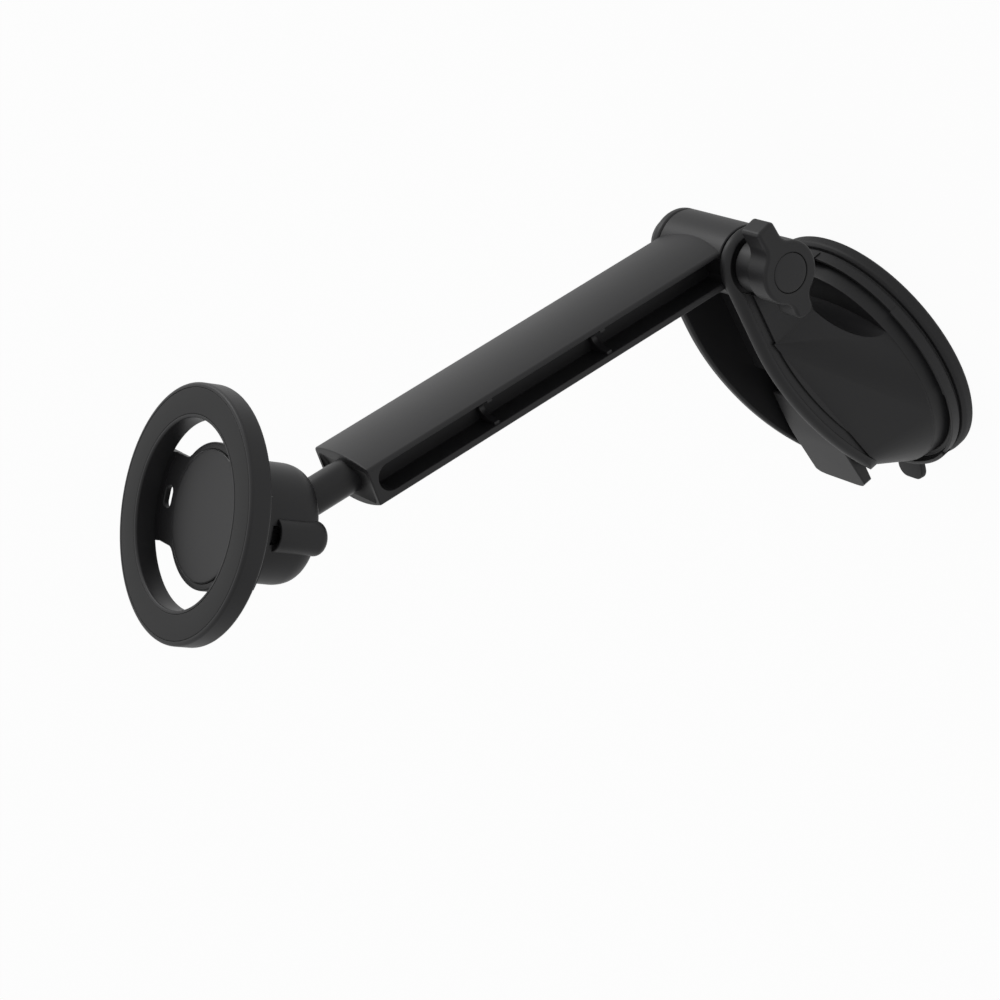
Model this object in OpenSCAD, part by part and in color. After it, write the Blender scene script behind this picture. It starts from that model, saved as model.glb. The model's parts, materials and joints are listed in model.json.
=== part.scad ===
// Suction cup holder: a lever-locked cup carries an elbow arm, a ball joint and a magnetic ring.
// Z = 0 is the glass, +Z points away from it, -Y is the side of the clamp knob.

/* [Suction cup and base] */
// Radius of the cup's rim
cup_r = 34; // [33.6:0.1:34.6]
// Height above the glass where the base ring starts
ring_z = 5; // [4.8:0.1:5.2]
// Outer radius of the base ring
ring_r = 33.2; // [32.6:0.1:33.6]
// Height above the glass of the base's flat top
plate_z = 10.7; // [10.4:0.1:11]
// Radius of the base's flat top
plate_r = 30; // [29.5:0.1:30.4]

/* [Housing] */
// Distance of the elbow axis from the cup's axis
elbow_x = 51.1; // [50.5:0.1:52.5]
// Height of the elbow axis above the glass
elbow_z = 30.6; // [30.3:0.1:31.5]
// Radius of the elbow's knuckle
knuckle_r = 8.94; // [8.7:0.02:9.1]
// Distance between the two ears
ear_gap = 24.68; // [24.6:0.02:25.2]
// Width over the two ears
ear_span = 31; // [30.6:0.1:32]

/* [Lever] */
// Height of the lever's pin above the glass
pin_z = 20.2; // [20.1:0.1:20.5]
// Width of the lever
lever_w = 20; // [18:0.5:21]
// How far the lever's tongue reaches past the cup's axis
lever_reach = 26.6; // [25:0.1:27]
// How far the lever lifts the middle of the cup
stroke = 2.2; // [2:0.1:2.2]

/* [Arm] */
// Angle between the arm and the cup's axis in this pose
arm_lean = 8.4; // [7:0.1:20]
// Distance from the elbow axis to the arm's free end
arm_len = 112.3; // [100:0.1:130]
// Width of the arm
arm_w = 24; // [23:0.1:24]
// Distance from the arm's free end to the centre of the ball
ball_out = 21.6; // [21:0.1:26]

/* [Ring head] */
// Angle between the ring's axis and the cup's axis in this pose
head_lean = 45; // [20:1:45]
// Outer radius of the ring
head_r = 29.2; // [28.8:0.1:30]
// Radius of the opening in the ring
opening_r = 21.3; // [21:0.1:21.6]
// Distance from the ball's centre to the ring's front face
head_reach = 22.4; // [22.2:0.1:23.5]
// Radius of the ball
ball_r = 8; // [7.9:0.02:8.02]

/* [Clamp knob] */
// Distance of the knob's face from the middle plane
knob_face = 28.5; // [28:0.1:30]
// Reach of the longer wing from the elbow axis
wing_reach = 14.1; // [13:0.1:15]

/* [Hidden] */
$fn = 96;

black = "#29292b";
dark = "#1d1d1f";
steel = "#b4b7ba";

// Clearance between faces that move past each other, and of a shaft in its bore
gap = 0.3;
running = 0.05;
// Reach of a cut past the face that it opens
past = 1;

// Suction cup
membrane_r = 24;
membrane_t = 1.6;
rim_top = 4;
groove_r = cup_r - 1.8;
stud_flange_z = 4;
stud_flange_t = 1.8;
stud_r = 4;
stud_eye_w = 7.2;
tab_w = 9.2;
tab_t = 1.8;
tab_l = 7.5;
tab_z = 3.65;
tab_tilt = 14;

// Base plate
plate_t = 2.2;
ring_wall = 2.8;
ring_wall_h = 2.6;
boss_r = 9.5;
boss_z = 13.7;
pocket_r = 7.2;
pocket_z = 11.2;
screw_sink = 0.9;

// Release spring
spring_r = 5.8;
spring_wire_r = 0.5;
spring_turns = 3.5;
spring_steps = 16;

// Housing
ear_t = (ear_span - ear_gap) / 2;
ear_top = elbow_z + knuckle_r;
wall = 2.4;
web_z = 27.6;
web_x = 10;
knuckle_clear_r = knuckle_r + 0.4;
// The ears' front edge bends out of the straight in a short arc, then falls in a long one
bend_angle = 10.8;
bend_r = 81;
fall_angle = 32.2;
fall_r = 110;
fall_start = 16.5;
ear_end = -21.5;
// Rounding of the dome's and the ears' front corners in plan
front_r = 7;
// The dome's crest runs this far below the ears' front edge
crest_drop = 2.94;
crest_slope = 14.3;
crest_bend = 34;
crest_end = -20.5;
// The dome's flanks start here
flank_x = 30;
// Footprint of the dome's back, an arc in plan, and the hollow under the neck
back_plan_r = 60;
back_x = 22.5;
hollow_r = 11;
boss_h = 4.5;
screw_places = [[-9, 18], [-9, -18], [9, 18], [9, -18]];

// Elbow clamp
bolt_r = 2.5;
washer_t = 0.6;
washer_r = 7.6;
washer_seat_y = ear_gap / 2 - washer_t - running;
nut_af = 8;
nut_t = 3.6;
nut_boss_r = 6.8;
nut_boss_y = 18.6;

// Clamp knob
knob_r = 7.8;
wing_t = 6.8;
cap_r = 4.9;

// Lever
lever_front = 27.6;
lever_t = 2.4;
lever_back_x = 2.5;
pin_r = 1.5;
cam_r = 5.25;
cam_throw = stroke / 2 / sin(45);
cam_in = 4.2;
cam_out = 8.4;
lever_bend_x = -10;
tongue_x = -16;
tongue_z = 23.2;
tongue_t = 2.4;

// Arm, in its own frame: +Z along the arm from the elbow axis, +X to its crowned face
arm_mid = 1.5;
arm_side_top = 5.9;
arm_side_low = -3.3;
arm_crown = 1.5;
arm_belly = 2;
slot_top = 4.9;
slot_low = -1.8;
slot_start = 7;
slot_end = arm_len - 1.9;
slot_depth = 7;
dish_mid = 0.85;
dish_half = 4.15;
dish_depth = 1.2;
dish_wall = 1.2;
rib_places = [43.5, 77.4];
rib_t = 1.5;

// Ball stud
stem_r = 4.3;
neck_r = 3.5;
neck_end = 8.5;
neck_cone = 1.5;
stem_in = 14;
stud_pin_r = 1;
stud_pin_at = arm_len - 7;

// Ring head, in its own frame: origin at the ball's centre, +Z to the ring's front face
ring_t = 5.2;
split = 4.4;
pad_t = 0.5;
arms_w = 20.8;
arms_t = 1.4;
arms_fillet = 2.5;
hub_r = 16.6;
hub_cap_r = 15;
hub_front = head_reach - 6;
hub_t = 3.2;
seat_r = ball_r + 0.08;
cavity_r = ball_r + 0.83;
socket_r = 10.2;
socket_low = -3.3;
flange_r = 14.5;
flange_t = 2.4;
finger_slits = 6;
screws_at = 12.2;
magnet_count = 16;
magnet_in = 23;
magnet_out = 27.4;

// Collar nut
collar_r = 13.8;
collar_top = 8.5;
collar_low = -5.4;
collar_mouth = 10.4;
lobe_r = 4;
lobe_at = 12.2;
lobe_low = -6.6;
lobe_top = 6.3;

// Distance from the elbow axis to the centre of the ball
ball_reach = arm_len + ball_out;
ball_pos = [
    elbow_x + arm_mid * cos(arm_lean) + ball_reach * sin(arm_lean),
    0,
    elbow_z - arm_mid * sin(arm_lean) + ball_reach * cos(arm_lean)
];

// Places children in the arm's frame
module on_arm() {
    translate([elbow_x, 0, elbow_z]) rotate([0, arm_lean, 0]) children();
}

// Places children in the ring head's frame
module on_head() {
    translate(ball_pos) rotate([0, head_lean, 0]) children();
}

// Turns a cylinder's axis to +Y, on the elbow axis, starting at y
module on_elbow(y) {
    translate([elbow_x, y, elbow_z]) rotate([-90, 0, 0]) children();
}

// Extrudes an outline drawn in X and Z across the middle plane
module across(width, y = 0) {
    translate([0, y, 0]) rotate([90, 0, 0]) linear_extrude(width, center = true) children();
}

// Flat ring standing on z = 0
module ring(outer, inner, height) {
    difference() {
        cylinder(r = outer, h = height);
        translate([0, 0, -past]) cylinder(r = inner, h = height + 2 * past);
    }
}

// Points on an arc round [cx, cz], angles counted from +Z towards -X
function arc(cx, cz, r, from, to, steps) =
    [for (i = [0:steps]) let (a = from + (to - from) * i / steps) [cx - r * sin(a), cz + r * cos(a)]];

// Centre of the long arc, which starts at the end of the short bend
fall_cx = fall_start + fall_r * sin(bend_angle);
bend_cx = fall_start + bend_r * sin(bend_angle);
bend_drop = bend_r * (1 - cos(bend_angle));
fall_cz = ear_top - bend_drop - fall_r * cos(bend_angle);

// Soft cup: rim, groove under the base ring, and the pull tab
module suction_cup() {
    tab_r = 3;
    color(black) {
        rotate_extrude() polygon([
            [membrane_r + gap, 0], [cup_r - 1.2, 0], [cup_r - 0.4, 0.35], [cup_r, 1.1], [cup_r, 2.8],
            [cup_r - 0.4, 3.6], [cup_r - 1.2, rim_top], [groove_r, rim_top], [groove_r, ring_z],
            [cup_r - 4, ring_z], [cup_r - 5, 2.8], [membrane_r + gap, 1.9]
        ]);
        translate([-cup_r, 0, tab_z]) rotate([0, tab_tilt, 0]) translate([0, 0, -tab_t / 2])
            linear_extrude(tab_t) {
                translate([tab_r - tab_l, -tab_w / 2]) square([tab_l - tab_r + 1, tab_w]);
                translate([-tab_l, tab_r - tab_w / 2]) square([tab_l, tab_w - 2 * tab_r]);
                for (side = [-1, 1]) translate([tab_r - tab_l, side * (tab_w / 2 - tab_r)]) circle(r = tab_r);
            }
    }
}

// Flexible middle of the cup, drawn up into a shallow cone
module cup_membrane() {
    top = stud_flange_z - running;
    color(black) rotate_extrude() polygon([
        [0, stud_flange_z - membrane_t], [8, stud_flange_z - membrane_t], [membrane_r, 0],
        [membrane_r, 1.8], [10, top], [0, top]
    ]);
}

// Stiff disc that presses the cup's rim on the glass and guides the stud
module base_plate() {
    low = plate_z - plate_t;
    color(black) difference() {
        union() {
            rotate_extrude() polygon([
                [ring_r - ring_wall, ring_z], [ring_r, ring_z], [ring_r, ring_z + ring_wall_h],
                [plate_r, plate_z], [0, plate_z], [0, low], [ring_r - ring_wall, low]
            ]);
            translate([0, 0, low]) cylinder(r = boss_r, h = boss_z - low);
        }
        translate([0, 0, ring_z]) cylinder(r = pocket_r, h = pocket_z - ring_z);
        cylinder(r = stud_r + running, h = boss_z + past);
        for (place = screw_places) translate([place[0], place[1], 0]) {
            cylinder(r = 1.6, h = plate_z + past);
            cylinder(r = 2.9, h = low + screw_sink);
        }
    }
}

// Outline of an ear in X and Z
module ear_outline() {
    polygon(concat(
        [[elbow_x, elbow_z - knuckle_r], [elbow_x, ear_top]],
        arc(bend_cx, ear_top - bend_r, bend_r, 0, bend_angle, 4),
        arc(fall_cx, fall_cz, fall_r, bend_angle, fall_angle, 10),
        [[ear_end, plate_z], [back_x - 3, plate_z], [back_x + hollow_r, elbow_z - knuckle_r]]
    ));
    translate([elbow_x, elbow_z]) circle(r = knuckle_r);
}

// Outline of the dome's crest, lowered and shortened by inset for the hollow inside
module crest_outline(inset) {
    top = ear_top - crest_drop - inset;
    fall = tan(crest_slope);
    polygon([
        [flank_x - inset, elbow_z - knuckle_r + inset],
        [flank_x - inset, top - (crest_bend - flank_x + inset) * fall],
        [crest_end + inset, top - (crest_bend - crest_end) * fall],
        [crest_end + inset, plate_z], [back_x, plate_z]
    ]);
}

// Column over the plan of the dome's crest and the ears, with rounded front corners
module front_column(front, half_w, corner_r) {
    linear_extrude(ear_top) {
        translate([front + corner_r, -half_w]) square([90, 2 * half_w]);
        translate([front, corner_r - half_w]) square([90, 2 * (half_w - corner_r)]);
        for (side = [-1, 1]) translate([front + corner_r, side * (half_w - corner_r)])
            circle(r = corner_r, $fn = 48);
    }
}

// Dome between the round foot and the crest
module dome(inset) {
    hull() {
        translate([0, 0, plate_z]) cylinder(r = plate_r - inset, h = 0.5, $fn = 64);
        intersection() {
            across(ear_span - 2 * inset) crest_outline(inset);
            front_column(crest_end + inset, ear_span / 2 - inset, front_r - inset);
        }
    }
}

// Space behind and under the neck, grown by extra
module back_hollow(extra) {
    translate([back_x - back_plan_r, 0, 0]) rotate_extrude($fn = 180)
        translate([back_plan_r + hollow_r, plate_z - 0.1]) union() {
            circle(r = hollow_r + extra);
            translate([0, -hollow_r - extra]) square([60, 2 * hollow_r + 2 * extra]);
        }
}

// Neck, dome and the two ears in one moulding
module housing() {
    foot_cut = plate_z - 20;
    lever_room = 14;
    color(black) difference() {
        union() {
            difference() {
                dome(0);
                difference() {
                    dome(wall);
                    back_hollow(wall);
                }
            }
            intersection() {
                for (side = [-1, 1]) across(ear_t, side * (ear_gap + ear_t) / 2) ear_outline();
                front_column(ear_end, ear_span / 2, front_r);
            }
            difference() {
                translate([web_x, -ear_gap / 2 - past, plate_z])
                    cube([elbow_x - web_x, ear_gap + 2 * past, web_z - plate_z]);
                translate([web_x + wall, -ear_gap / 2, plate_z - past])
                    cube([back_x - web_x - 2 * wall, ear_gap, web_z - wall - plate_z + past]);
            }
            for (place = screw_places) translate([place[0], place[1], plate_z]) cylinder(r = 3, h = boss_h);
            on_elbow(ear_gap / 2) cylinder(r = nut_boss_r, h = nut_boss_y - ear_gap / 2);
        }
        back_hollow(0);
        translate([0, 0, foot_cut]) cylinder(r = 80, h = 20);
        // Room for the knuckle and for the arm's swing
        on_elbow(-ear_gap / 2) cylinder(r = knuckle_clear_r, h = ear_gap);
        translate([web_x - past, -ear_gap / 2, web_z]) cube([60, ear_gap, 20]);
        // Room for the lever, its cams and its tongue
        translate([-lever_room, -ear_gap / 2, plate_z - past]) cube([lever_room + web_x, ear_gap, 40]);
        translate([-40, -ear_gap / 2, tongue_z - 0.5]) cube([40, ear_gap, 20]);
        // Clamp bolt, its nut and the screws
        on_elbow(-ear_span) cylinder(r = bolt_r + 0.1, h = 2 * ear_span);
        on_elbow(nut_boss_y - nut_t) cylinder(d = (nut_af + 0.1) / cos(30), h = nut_t + past, $fn = 6);
        for (place = screw_places)
            translate([place[0], place[1], plate_z - past]) cylinder(r = 1.25, h = boss_h - 0.8 + past);
    }
}

// Screws that hold the housing on the base plate, heads below
module housing_screws() {
    head_z = plate_z - plate_t - screw_sink;
    color(steel) for (place = screw_places) translate([place[0], place[1], head_z]) difference() {
        union() {
            cylinder(r = 2.5, h = 2 * screw_sink);
            cylinder(r = 1.2, h = plate_z + boss_h - 1 - head_z);
        }
        translate([0, 0, -past]) cylinder(r = 1.1, h = past + 0.9, $fn = 6);
    }
}

// Points of one wire ring of the spring, at step i of n between the heights low and high
function spring_ring(i, n, low, high) = [
    for (k = [0:5]) let (
        turn = 360 * spring_turns * i / n,
        round = 60 * k,
        r = spring_r + spring_wire_r * cos(round),
        z = low + (high - low) * i / n + spring_wire_r * sin(round)
    ) [r * cos(turn), r * sin(turn), z]
];

// Coil spring that pushes the stud down when the lever opens
module release_spring() {
    n = spring_turns * spring_steps;
    low = stud_flange_z + stud_flange_t + spring_wire_r + running;
    high = pocket_z - spring_wire_r - running;
    points = [for (i = [0:n]) each spring_ring(i, n, low, high)];
    faces = concat(
        [[for (k = [0:5]) k]],
        [for (i = [0:n - 1], k = [0:5]) let (next = (k + 1) % 6, a = 6 * i, b = a + 6)
            [a + k, b + k, b + next, a + next]],
        [[for (k = [5:-1:0]) 6 * n + k]]
    );
    color(steel) polyhedron(points, faces, convexity = 8);
}

// Slip washers between the knuckle and the ears
module friction_washers() {
    color(dark) for (y = [-ear_gap / 2, ear_gap / 2 - washer_t])
        on_elbow(y) ring(washer_r, bolt_r + 0.3, washer_t);
}

// Hexagon nut held in the far ear
module bolt_nut() {
    color(steel) on_elbow(nut_boss_y - nut_t) difference() {
        cylinder(d = nut_af / cos(30), h = nut_t - 0.1, $fn = 6);
        translate([0, 0, -past]) cylinder(r = bolt_r + running, h = nut_t + 2 * past);
    }
}

// Stud moulded to the cup's middle, with an eye for the lever's pin
module cup_stud() {
    color(dark) difference() {
        union() {
            translate([0, 0, stud_flange_z]) cylinder(r = pocket_r - 0.3, h = stud_flange_t);
            translate([0, 0, stud_flange_z]) cylinder(r = stud_r, h = pin_z - stud_flange_z);
            translate([0, 0, pin_z]) rotate([90, 0, 0]) cylinder(r = stud_r, h = stud_eye_w, center = true);
        }
        translate([0, 0, pin_z]) rotate([90, 0, 0]) cylinder(r = pin_r, h = 20, center = true);
    }
}

// Steel pin through the stud's eye and the lever's two cams
module lever_pin() {
    color(steel) translate([0, 0, pin_z]) rotate([90, 0, 0])
        cylinder(r = pin_r - 0.01, h = 2 * cam_out, center = true);
}

// Outline of the lever's plate and tongue in X and Z
module lever_outline() {
    polygon([
        [lever_back_x, lever_front - lever_t], [lever_back_x, lever_front - 0.8],
        [lever_back_x - 0.8, lever_front], [lever_bend_x, lever_front],
        [-lever_reach + 0.6, tongue_z + tongue_t],
        [-lever_reach, tongue_z + tongue_t - 0.6], [-lever_reach, tongue_z],
        [tongue_x - 2, tongue_z], [tongue_x + 1, lever_front - lever_t]
    ]);
}

// Lever with two cams, folded flat between the ears
module cam_lever() {
    corner_r = 4;
    rib_w = 1.4;
    color(black) difference() {
        union() {
            intersection() {
                across(lever_w) lever_outline();
                // Rounded corners of the tongue
                union() {
                    translate([-lever_reach + corner_r, -lever_w / 2, 0]) cube([60, lever_w, 60]);
                    translate([-lever_reach, -lever_w / 2 + corner_r, 0])
                        cube([60, lever_w - 2 * corner_r, 60]);
                    for (side = [-1, 1])
                        translate([-lever_reach + corner_r, side * (lever_w / 2 - corner_r), 0])
                            cylinder(r = corner_r, h = 60);
                }
            }
            for (side = [-1, 1]) {
                across(cam_out - cam_in, side * (cam_out + cam_in) / 2) {
                    translate([-cam_throw * cos(45), pin_z - cam_throw * cos(45)]) circle(r = cam_r);
                    translate([-4.6, pin_z]) square([4.6 + lever_back_x, lever_front - pin_z - 1]);
                }
                // Stiffening ribs under the plate
                across(rib_w, side * (lever_w - rib_w) / 2) polygon([
                    [0, lever_front - 1], [0, pin_z + 3.4], [-12, pin_z + 3.4],
                    [tongue_x + 1, lever_front - 3], [tongue_x + 1, lever_front - 1]
                ]);
            }
        }
        translate([0, 0, pin_z]) rotate([90, 0, 0]) cylinder(r = pin_r + running, h = 40, center = true);
    }
}

// Outline of the arm's cross-section, bulged a little on the face and the underside
module arm_section() {
    crown_r = (arm_w * arm_w / 4 + arm_crown * arm_crown) / (2 * arm_crown);
    belly_r = (arm_w * arm_w / 4 + arm_belly * arm_belly) / (2 * arm_belly);
    top = arm_side_top + arm_crown;
    low = arm_side_low - arm_belly;
    intersection() {
        translate([low, -arm_w / 2]) square([top - low, arm_w]);
        translate([top - crown_r, 0]) circle(r = crown_r, $fn = 180);
        translate([low + belly_r, 0]) circle(r = belly_r, $fn = 180);
    }
}

// Slot along one side of the arm, round at its free end
module side_slot() {
    slot_h = slot_top - slot_low;
    round_at = slot_end - slot_h / 2;
    depth = slot_depth + past;
    translate([slot_low + slot_h / 2, 0, round_at]) rotate([-90, 0, 0]) cylinder(r = slot_h / 2, h = depth);
    translate([slot_low, 0, slot_start]) cube([slot_h, depth, round_at - slot_start]);
}

// Cross rib of a side slot, hollowed at its outer edge
module slot_rib() {
    slot_h = slot_top - slot_low;
    difference() {
        translate([slot_low - past, 0, -rib_t / 2]) cube([slot_h + 2 * past, slot_depth - 0.6, rib_t]);
        translate([(slot_top + slot_low) / 2, slot_depth, -past])
            cylinder(r = slot_h / 2 - 0.9, h = rib_t + 2 * past, $fn = 48);
    }
}

// Arm with the knuckle at its root and a dished free end
module arm() {
    dish_r = (dish_half * dish_half + dish_depth * dish_depth) / (2 * dish_depth);
    color(black) on_arm() difference() {
        union() {
            difference() {
                union() {
                    linear_extrude(arm_len) arm_section();
                    rotate([90, 0, 0]) cylinder(r = knuckle_r, h = arm_w, center = true);
                }
                for (turn = [0, 1]) mirror([0, turn, 0])
                    translate([0, arm_w / 2 - slot_depth, 0]) side_slot();
            }
            for (turn = [0, 1], place = rib_places)
                mirror([0, turn, 0]) translate([0, arm_w / 2 - slot_depth, place]) slot_rib();
        }
        rotate([90, 0, 0]) cylinder(r = bolt_r + 0.2, h = 40, center = true);
        // Seats of the slip washers
        for (turn = [0, 1]) mirror([0, turn, 0]) translate([0, washer_seat_y, 0]) rotate([-90, 0, 0])
            cylinder(r = washer_r + gap, h = past);
        // Dished end round the ball stud
        translate([dish_mid, 0, arm_len + dish_r - dish_depth]) rotate([90, 0, 0])
            cylinder(r = dish_r, h = arm_w - 2 * dish_wall, center = true, $fn = 180);
        translate([arm_mid, 0, arm_len - stem_in]) cylinder(r = stem_r, h = stem_in + past);
        translate([arm_mid, 0, stud_pin_at]) rotate([90, 0, 0])
            cylinder(r = stud_pin_r, h = 10, center = true);
    }
}

// Ball on its stem
module ball_stud() {
    foot = -ball_out - stem_in;
    cone_low = -neck_end - neck_cone;
    stem_fit_r = stem_r - 0.01;
    color(dark) on_arm() translate([arm_mid, 0, ball_reach]) difference() {
        union() {
            sphere(r = ball_r);
            translate([0, 0, foot]) cylinder(r = stem_fit_r, h = cone_low - foot);
            translate([0, 0, cone_low]) cylinder(r1 = stem_fit_r, r2 = neck_r, h = neck_cone);
            translate([0, 0, -neck_end]) cylinder(r = neck_r, h = neck_end);
        }
        translate([0, 0, stud_pin_at - ball_reach]) rotate([90, 0, 0])
            cylinder(r = stud_pin_r, h = 20, center = true);
        translate([0, 0, ball_r - 1.2]) cylinder(r = 3, h = 3);
    }
}

// Cross pin that keeps the stem in the arm
module stud_pin() {
    color(steel) on_arm() translate([arm_mid, 0, stud_pin_at]) rotate([90, 0, 0])
        cylinder(r = stud_pin_r - 0.01, h = 9.8, center = true);
}

// Clamp bolt from the knob to the nut in the far ear
module clamp_bolt() {
    head_y = knob_face - 5.4;
    color(steel) {
        on_elbow(-head_y - 3.5) cylinder(d = nut_af / cos(30), h = 3.5, $fn = 6);
        on_elbow(-head_y) cylinder(r = bolt_r, h = head_y + nut_boss_y - 0.6);
    }
}

// One wing of the knob, with a rounded tip and hollow fillets where it leaves the round body
module wing(reach, half_w, tip) {
    fillet_r = 4;
    fillet_x = sqrt(pow(knob_r + fillet_r, 2) - pow(half_w + fillet_r, 2));
    translate([0, -half_w]) square([reach - tip, 2 * half_w]);
    translate([0, tip - half_w]) square([reach, 2 * (half_w - tip)]);
    for (side = [-1, 1]) {
        translate([reach - tip, side * (half_w - tip)]) circle(r = tip, $fn = 48);
        difference() {
            polygon([[0, 0], [fillet_x, 0], [fillet_x, side * (half_w + fillet_r)]]);
            translate([fillet_x, side * (half_w + fillet_r)]) circle(r = fillet_r, $fn = 64);
        }
    }
}

// Two-winged clamp knob on its drum
module clamp_knob() {
    drum_r = 6.8;
    drum_end = ear_span / 2 + 0.4;
    inner_y = -knob_face + wing_t;
    color(black) difference() {
        union() {
            across(wing_t, inner_y - wing_t / 2) translate([elbow_x, elbow_z]) {
                circle(r = knob_r);
                rotate(5.5) wing(wing_reach, 2.65, 1.1);
                rotate(177) wing(wing_reach - 1.8, 2.6, 1.8);
            }
            on_elbow(inner_y - past) cylinder(r = drum_r, h = past - inner_y - drum_end);
        }
        on_elbow(-knob_face - past) cylinder(r = cap_r + 0.07, h = 2.3);
        on_elbow(-knob_face + 1) cylinder(d = nut_af / cos(30) + 0.04, h = 4.4, $fn = 6);
        on_elbow(-knob_face) cylinder(r = bolt_r + 0.02, h = knob_face);
    }
}

// Round cap over the bolt's head
module knob_cap() {
    color(dark) on_elbow(-knob_face + 0.1) cylinder(r = cap_r, h = 1.15);
}

// Spherical shell round the ball between two polar angles, drawn for a full turn
module ball_shell(inner, outer, from, to) {
    steps = 12;
    at = [for (i = [0:steps]) from + (to - from) * i / steps];
    rotate_extrude() polygon(concat(
        [for (a = at) [inner * sin(a), inner * cos(a)]],
        [for (i = [steps:-1:0]) [outer * sin(at[i]), outer * cos(at[i])]]
    ));
}

// Slippery cap of the seat, in front of the ball
module ball_seat() {
    color(dark) on_head() ball_shell(seat_r, cavity_r - running, 24, 50);
}

// Slippery band of the seat, round the ball
module ball_band() {
    color(dark) on_head() ball_shell(seat_r, cavity_r - running, 76, 98);
}

// Slit socket whose fingers hold the ball
module ball_socket() {
    top = hub_front - hub_t;
    lip_angle = 110;
    lip_r = seat_r * sin(lip_angle);
    mouth_low = socket_low - past;
    color(black) on_head() difference() {
        union() {
            translate([0, 0, top - flange_t]) cylinder(r = flange_r, h = flange_t);
            translate([0, 0, socket_low]) cylinder(r1 = socket_r - 1.1, r2 = socket_r, h = 3.4);
            cylinder(r = socket_r, h = top - flange_t);
        }
        sphere(r = seat_r);
        difference() {
            sphere(r = cavity_r);
            translate([0, 0, -20 + cavity_r * cos(101)]) cylinder(r = 20, h = 20);
        }
        // Mouth of the socket, flared for the stem's tilt
        translate([0, 0, mouth_low])
            cylinder(r1 = lip_r + 1.6, r2 = lip_r, h = seat_r * cos(lip_angle) - mouth_low);
        for (i = [0:finger_slits - 1]) rotate(360 / finger_slits * (i + 0.5))
            translate([0, -0.6, mouth_low]) cube([20, 1.2, 8]);
        for (i = [0:2]) rotate(120 * i + 60) translate([screws_at, 0, 0]) cylinder(r = 1.1, h = 30);
    }
}

// Plan of the two wide arms, with hollow fillets where they leave the hub
module arms_outline() {
    half_w = arms_w / 2;
    fillet_x = half_w + arms_fillet;
    fillet_y = sqrt(pow(hub_r + arms_fillet, 2) - pow(fillet_x, 2));
    translate([-half_w, -2 * hub_r]) square([arms_w, 4 * hub_r]);
    for (x = [-1, 1], y = [-1, 1]) difference() {
        polygon([[0, 0], [0, y * fillet_y], [x * fillet_x, y * fillet_y]]);
        translate([x * fillet_x, y * fillet_y]) circle(r = arms_fillet, $fn = 48);
    }
}

// Back half of the ring with the hub and its two wide arms
module head_frame() {
    back = head_reach - ring_t;
    arms_low = hub_front - arms_t;
    slit_at = 18.6;
    slit_r = 1.6;
    slit_half = 1.1;
    color(black) on_head() difference() {
        union() {
            translate([0, 0, back]) ring(head_r, opening_r, ring_t - split);
            // Blocks that carry the ring on the arms
            translate([0, 0, arms_low]) intersection() {
                ring(opening_r + 4.6, opening_r, back - arms_low + 0.2);
                translate([-arms_w / 2, -2 * hub_r, 0]) cube([arms_w, 4 * hub_r, ring_t]);
            }
            translate([0, 0, arms_low]) intersection() {
                cylinder(r = opening_r + 2, h = arms_t);
                linear_extrude(arms_t) arms_outline();
            }
            translate([0, 0, hub_front - hub_t]) cylinder(r = hub_r, h = hub_t);
        }
        translate([0, 0, hub_front - 1.2]) cylinder(r = hub_cap_r + 0.05, h = 5);
        // Slot in each arm, close to the hub
        for (side = [-1, 1]) translate([0, side * slit_at, hub_front - 5]) {
            for (x = [-slit_half, slit_half]) translate([x, 0, 0]) cylinder(r = slit_r, h = 10, $fn = 32);
            translate([-slit_half, -slit_r, 0]) cube([2 * slit_half, 2 * slit_r, 10]);
        }
        for (i = [0:2]) rotate(120 * i + 60) translate([screws_at, 0, 0]) cylinder(r = 1.5, h = 30);
    }
}

// Front half of the ring, with the groove for the magnets
module ring_cover() {
    round = 0.6;
    groove_t = 3.2;
    color(black) on_head() difference() {
        translate([0, 0, head_reach - split]) rotate_extrude($fn = 144) polygon(concat(
            [[opening_r, 0], [head_r, 0], [head_r, split - round]],
            [for (a = [15:15:90]) [head_r - round + round * cos(a), split - round + round * sin(a)]],
            [[opening_r + round, split], [opening_r, split - round]]
        ));
        translate([0, 0, head_reach - split - past])
            ring(magnet_out + 0.1, magnet_in - 0.1, groove_t + past);
        translate([0, 0, head_reach - pad_t]) ring(head_r - 1.1, opening_r + 0.8, pad_t + past);
    }
}

// Arc magnets in a circle
module magnet_ring() {
    step = 360 / magnet_count;
    play = 0.8;
    color(steel) on_head() translate([0, 0, head_reach - split + 0.7]) for (i = [0:magnet_count - 1])
        rotate(step * i) rotate_extrude(angle = step - play, $fn = 144)
            translate([magnet_in, 0]) square([magnet_out - magnet_in, 2.4]);
}

// Steel ring behind the magnets
module shunt_ring() {
    color(steel) on_head() translate([0, 0, head_reach - split]) ring(magnet_out, magnet_in, 0.6);
}

// Thin soft pad on the ring's front
module face_pad() {
    color(dark) on_head() translate([0, 0, head_reach - pad_t]) ring(head_r - 1.15, opening_r + 0.85, pad_t);
}

// Round cap on the hub
module hub_cap() {
    edge = 0.5;
    base = hub_front - 1.2;
    height = 1.6;
    color(black) on_head() translate([0, 0, base]) rotate_extrude() polygon([
        [0, 0], [hub_cap_r, 0], [hub_cap_r, height - edge], [hub_cap_r - edge, height], [0, height]
    ]);
}

// Countersunk screws from the hub into the socket's flange
module hub_screws() {
    head_t = 1;
    head_top = hub_front - 1.25;
    color(steel) on_head() for (i = [0:2]) rotate(120 * i + 60) translate([screws_at, 0, 0]) {
        translate([0, 0, head_top - head_t]) cylinder(r1 = 1.05, r2 = 1.45, h = head_t);
        translate([0, 0, head_top - head_t - 3.6]) cylinder(r = 1.05, h = 3.7);
    }
}

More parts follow.
